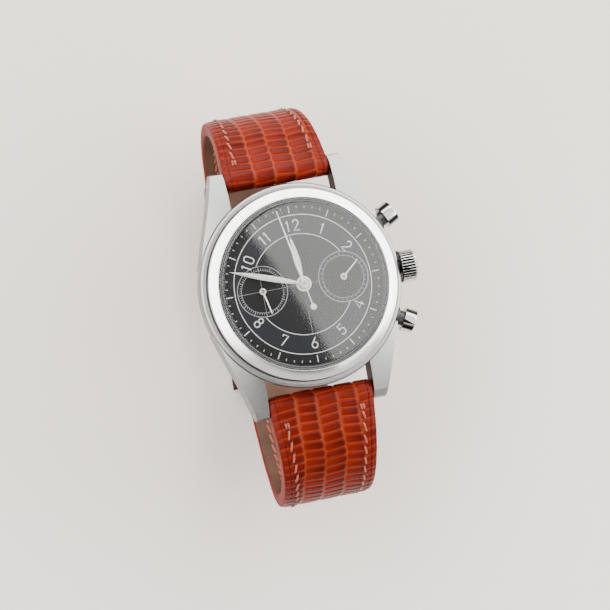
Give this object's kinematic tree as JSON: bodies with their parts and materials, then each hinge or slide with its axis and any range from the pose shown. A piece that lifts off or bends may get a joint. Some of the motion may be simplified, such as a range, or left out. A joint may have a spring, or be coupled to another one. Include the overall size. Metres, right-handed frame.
{
  "type": "mechanical chronograph wristwatch",
  "caption": "Hand-wound two-register chronograph wristwatch with pump pushers, domed crystal and a buckled leather strap.",
  "frame": {"origin": "on the standing surface, straight below the middle of the dial", "axes": "+Z out of the dial, +Y from the middle of the dial to 12 o'clock, +X to the crown at 3 o'clock"},
  "size_m": [0.0413, 0.0752, 0.046],
  "materials": {
    "case_steel": "fine brushed",
    "polished_steel": "mirror polished",
    "clear_crystal": "clear, domed",
    "seal_rubber": "matt",
    "dial_lacquer": "matt grained and satin zones",
    "hand_metal": "rhodium, polished",
    "plate_metal": "pale gilt, striped",
    "gear_brass": "gilt",
    "train_steel": "snailed",
    "lever_steel": "straight grained",
    "spring_steel": "blued",
    "screw_steel": "polished",
    "ruby": "polished synthetic ruby",
    "lizard_leather": "glossy scaled hide"
  },
  "bodies": {
    "watch": {"mid_case": "case_steel", "bezel": "polished_steel", "crystal": "clear_crystal", "crystal_seat": "seal_rubber", "case_back": "polished_steel", "case_back_gasket": "seal_rubber", "movement_ring": "plate_metal", "case_tubes": "case_steel", "dial": "dial_lacquer", "jewels": "ruby", "bridge_screws": "screw_steel", "main_plate": "plate_metal", "barrel_bridge": "plate_metal", "train_bridge": "plate_metal", "balance_cock": "plate_metal", "pallet_cock": "plate_metal", "chronograph_bridge": "plate_metal", "hairspring": "spring_steel", "strap_12": "lizard_leather", "strap_6": "lizard_leather", "fixed_keeper": "lizard_leather", "spring_bars": "case_steel"},
    "seconds_train": {"fourth_wheel": "gear_brass", "small_seconds_hand": "hand_metal"},
    "centre_train": {"centre_wheel": "gear_brass", "minute_hand": "hand_metal"},
    "hour_train": {"hour_wheel": "gear_brass", "hour_hand": "hand_metal"},
    "third_train": {"third_wheel": "gear_brass"},
    "minute_work": {"minute_wheel": "gear_brass"},
    "barrel_drum": {"barrel": "gear_brass", "mainspring": "spring_steel"},
    "escape": {"escape_wheel": "train_steel"},
    "pallets": {"pallet_fork": "lever_steel"},
    "balance": {"balance_wheel": "gear_brass"},
    "winding": {"winding_pinion": "train_steel"},
    "crown_and_stem": {"crown": "polished_steel", "winding_stem": "train_steel"},
    "clutch": {"clutch_wheel": "train_steel"},
    "setting": {"setting_lever": "lever_steel"},
    "crown_gear": {"crown_wheel": "train_steel"},
    "ratchet": {"ratchet_wheel": "train_steel"},
    "click_pawl": {"click": "lever_steel"},
    "start_button": {"start_pusher": "polished_steel"},
    "operating": {"operating_lever": "lever_steel"},
    "columns": {"column_wheel": "train_steel"},
    "clutch_arm": {"clutch_lever": "lever_steel"},
    "coupling": {"coupling_wheel": "gear_brass"},
    "brake": {"brake_lever": "lever_steel"},
    "reset_button": {"reset_pusher": "polished_steel"},
    "hammer": {"reset_hammer": "lever_steel"},
    "chrono_seconds": {"chronograph_runner": "gear_brass", "chronograph_hand": "hand_metal"},
    "chrono_minutes": {"minute_counter_wheel": "gear_brass", "minute_counter_hand": "hand_metal"},
    "loose_keeper": {"free_keeper": "lizard_leather"},
    "buckle": {"buckle_frame": "polished_steel"},
    "tang": {"buckle_tang": "polished_steel"},
    "bar_pin_12": {"spring_bar_pin_12": "case_steel"},
    "bar_pin_6": {"spring_bar_pin_6": "case_steel"}
  },
  "joints": [
    {"name": "seconds_turn", "type": "hinge", "parent": "watch", "child": "seconds_train", "pos_m": [-0.00772, 0, 0.0383], "axis": [0, 0, -1], "continuous": true},
    {"name": "minutes_turn", "type": "hinge", "parent": "watch", "child": "centre_train", "pos_m": [0, 0, 0.039], "axis": [0, 0, -1], "continuous": true},
    {"name": "hours_turn", "type": "hinge", "parent": "watch", "child": "hour_train", "pos_m": [0, 0, 0.0406], "axis": [0, 0, -1], "continuous": true},
    {"name": "third_turn", "type": "hinge", "parent": "watch", "child": "third_train", "pos_m": [-0.0042, -0.00081, 0.0378], "axis": [0, 0, -1], "continuous": true},
    {"name": "minute_work_turn", "type": "hinge", "parent": "watch", "child": "minute_work", "pos_m": [0.00082, -0.00226, 0.0401], "axis": [0, 0, -1], "continuous": true},
    {"name": "barrel_turn", "type": "hinge", "parent": "watch", "child": "barrel_drum", "pos_m": [0.00421, 0.00559, 0.0383], "axis": [0, 0, -1], "continuous": true, "deforming": ["mainspring"]},
    {"name": "escape_turn", "type": "hinge", "parent": "watch", "child": "escape", "pos_m": [-0.00881, -0.00299, 0.0387], "axis": [0, 0, -1], "continuous": true},
    {"name": "pallet_swing", "type": "hinge", "parent": "watch", "child": "pallets", "pos_m": [-0.00944, -0.00536, 0.0387], "axis": [0, 0, 1], "range_deg": [-6, 6]},
    {"name": "balance_swing", "type": "hinge", "parent": "watch", "child": "balance", "pos_m": [-0.0069, -0.0077, 0.0371], "axis": [0, 0, 1], "range_deg": [-270, 270], "stiffness_Nm_per_rad": 0.00000035, "deforming": ["hairspring"]},
    {"name": "crown_turn", "type": "hinge", "parent": "watch", "child": "winding", "pos_m": [0.01392, 0, 0.0378], "axis": [1, 0, 0], "continuous": true},
    {"name": "crown_pull", "type": "slide", "parent": "winding", "child": "crown_and_stem", "axis": [1, 0, 0], "range_m": [0, 0.0009]},
    {"name": "clutch_slide", "type": "slide", "parent": "winding", "child": "clutch", "axis": [1, 0, 0], "range_m": [-0.0005, 0]},
    {"name": "setting_lever_swing", "type": "hinge", "parent": "watch", "child": "setting", "pos_m": [0.0125, 0.0034, 0.04], "axis": [0, 0, 1], "range_deg": [0, 15]},
    {"name": "crown_wheel_turn", "type": "hinge", "parent": "watch", "child": "crown_gear", "pos_m": [0.01105, 0, 0.0366], "axis": [0, 0, 1], "continuous": true},
    {"name": "ratchet_turn", "type": "hinge", "parent": "watch", "child": "ratchet", "pos_m": [0.00421, 0.00559, 0.0366], "axis": [0, 0, 1], "continuous": true},
    {"name": "click_swing", "type": "hinge", "parent": "watch", "child": "click_pawl", "pos_m": [0.00147, 0.01237, 0.0366], "axis": [0, 0, -1], "range_deg": [-6, 0], "stiffness_Nm_per_rad": 0.000001},
    {"name": "start_press", "type": "slide", "parent": "watch", "child": "start_button", "axis": [-0.8829, -0.4695, 0], "range_m": [0, 0.0008], "stiffness_N_per_m": 220},
    {"name": "operating_swing", "type": "hinge", "parent": "watch", "child": "operating", "pos_m": [0.0114, -0.0044, 0.0353], "axis": [0, 0, 1], "range_deg": [0, 6]},
    {"name": "column_turn", "type": "hinge", "parent": "watch", "child": "columns", "pos_m": [0.0089, 0.0102, 0.0355], "axis": [0, 0, -1], "range_deg": [0, 31]},
    {"name": "clutch_swing", "type": "hinge", "parent": "watch", "child": "clutch_arm", "pos_m": [-0.00772, 0, 0.0358], "axis": [0, 0, -1], "range_deg": [0, 2]},
    {"name": "brake_swing", "type": "hinge", "parent": "watch", "child": "brake", "pos_m": [-0.0032, 0.0076, 0.0353], "axis": [0, 0, 1], "range_deg": [0, 6]},
    {"name": "coupling_turn", "type": "hinge", "parent": "clutch_arm", "child": "coupling", "pos_m": [-0.00396, 0.00322, 0.0361], "axis": [0, 0, -1], "continuous": true},
    {"name": "reset_press", "type": "slide", "parent": "watch", "child": "reset_button", "axis": [-0.8829, 0.4695, 0], "range_m": [0, 0.0008], "stiffness_N_per_m": 220},
    {"name": "hammer_swing", "type": "hinge", "parent": "watch", "child": "hammer", "pos_m": [0.0142, -0.0019, 0.0361], "axis": [0, 0, -1], "range_deg": [0, 4.2]},
    {"name": "chrono_seconds_turn", "type": "hinge", "parent": "watch", "child": "chrono_seconds", "pos_m": [0, 0, 0.0355], "axis": [0, 0, -1], "continuous": true},
    {"name": "chrono_minutes_turn", "type": "hinge", "parent": "watch", "child": "chrono_minutes", "pos_m": [0.00772, 0, 0.0357], "axis": [0, 0, -1], "continuous": true},
    {"name": "keeper_slide", "type": "slide", "parent": "watch", "child": "loose_keeper", "axis": [0, 1, 0], "range_m": [-0.002, 0.006]},
    {"name": "buckle_swing", "type": "hinge", "parent": "watch", "child": "buckle", "pos_m": [0, -0.0048, 0.00493], "axis": [1, 0, 0], "range_deg": [0, 2]},
    {"name": "tang_swing", "type": "hinge", "parent": "buckle", "child": "tang", "pos_m": [0, -0.0048, 0.00493], "axis": [1, 0, 0], "range_deg": [0, 3]},
    {"name": "bar_pin_12_retract", "type": "slide", "parent": "watch", "child": "bar_pin_12", "axis": [-1, 0, 0], "range_m": [0, 0.0013], "stiffness_N_per_m": 400},
    {"name": "bar_pin_6_retract", "type": "slide", "parent": "watch", "child": "bar_pin_6", "axis": [-1, 0, 0], "range_m": [0, 0.0013], "stiffness_N_per_m": 400}
  ],
  "couplings": [
    {"joint": "minutes_turn", "follows": "seconds_turn", "ratio": 0.016667},
    {"joint": "hours_turn", "follows": "seconds_turn", "ratio": 0.0013889},
    {"joint": "third_turn", "follows": "seconds_turn", "ratio": -0.13333},
    {"joint": "minute_work_turn", "follows": "seconds_turn", "ratio": -0.0055556},
    {"joint": "barrel_turn", "follows": "seconds_turn", "ratio": -0.0027778},
    {"joint": "escape_turn", "follows": "seconds_turn", "ratio": -12},
    {"joint": "clutch_slide", "follows": "crown_pull", "ratio": -0.5},
    {"joint": "setting_lever_swing", "follows": "crown_pull", "rad_per_m": 271.5},
    {"joint": "crown_wheel_turn", "follows": "crown_turn", "ratio": 0.39474},
    {"joint": "ratchet_turn", "follows": "crown_turn", "ratio": -0.18987},
    {"joint": "operating_swing", "follows": "start_press", "rad_per_m": 108},
    {"joint": "column_turn", "follows": "start_press", "rad_per_m": 654.5},
    {"joint": "clutch_swing", "follows": "start_press", "rad_per_m": 37.5},
    {"joint": "brake_swing", "follows": "start_press", "rad_per_m": 109.08},
    {"joint": "coupling_turn", "follows": "seconds_turn", "ratio": -2.1429},
    {"joint": "hammer_swing", "follows": "reset_press", "rad_per_m": 87.5},
    {"joint": "chrono_minutes_turn", "follows": "chrono_seconds_turn", "ratio": 0.033333}
  ]
}
